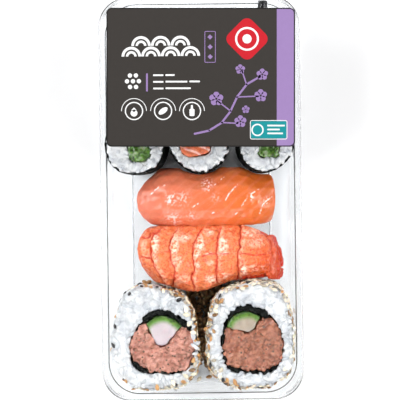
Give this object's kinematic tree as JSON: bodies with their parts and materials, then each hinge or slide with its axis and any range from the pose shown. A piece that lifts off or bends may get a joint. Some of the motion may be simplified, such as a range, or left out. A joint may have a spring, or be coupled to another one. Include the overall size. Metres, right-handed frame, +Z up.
{
  "type": "takeaway sushi tray",
  "caption": "Takeaway sushi in a long clear tray with a clear lid and a printed card: thin rolls, nigiri and wide seeded rolls.",
  "frame": {"origin": "on the table, under the middle of the tray", "axes": "+Z up, +Y along the tray towards the end with the printed card, +X to the right seen from above"},
  "size_m": [0.0926, 0.185, 0.0426],
  "materials": {
    "clear_plastic": "clear gloss",
    "printed_card": "satin print",
    "rice": "moist, slightly glossy",
    "nori": "matt crinkled",
    "cucumber": "moist",
    "salmon": "wet gloss",
    "shrimp": "moist",
    "fish_mix": "moist, coarse",
    "soy_sauce": "dark sauce in clear plastic",
    "black_plastic": "moulded"
  },
  "bodies": {
    "root": {"tray": "clear_plastic", "lid": "clear_plastic", "label": "printed_card", "soy_ampoule": "soy_sauce", "soy_nozzle": "black_plastic", "hosomaki_left_nori": "nori", "hosomaki_left_rice": "rice", "hosomaki_left_filling": "cucumber", "hosomaki_middle_nori": "nori", "hosomaki_middle_rice": "rice", "hosomaki_middle_filling": "salmon", "hosomaki_right_nori": "nori", "hosomaki_right_rice": "rice", "hosomaki_right_filling": "cucumber", "salmon_rice": "rice", "salmon": "salmon", "shrimp_rice": "rice", "shrimp": "shrimp", "uramaki_left_rice": "rice", "uramaki_left_nori": "nori", "uramaki_left_filling": "fish_mix", "uramaki_left_cucumber": "cucumber", "uramaki_right_rice": "rice", "uramaki_right_nori": "nori", "uramaki_right_filling": "fish_mix", "uramaki_right_cucumber": "cucumber"}
  },
  "joints": []
}
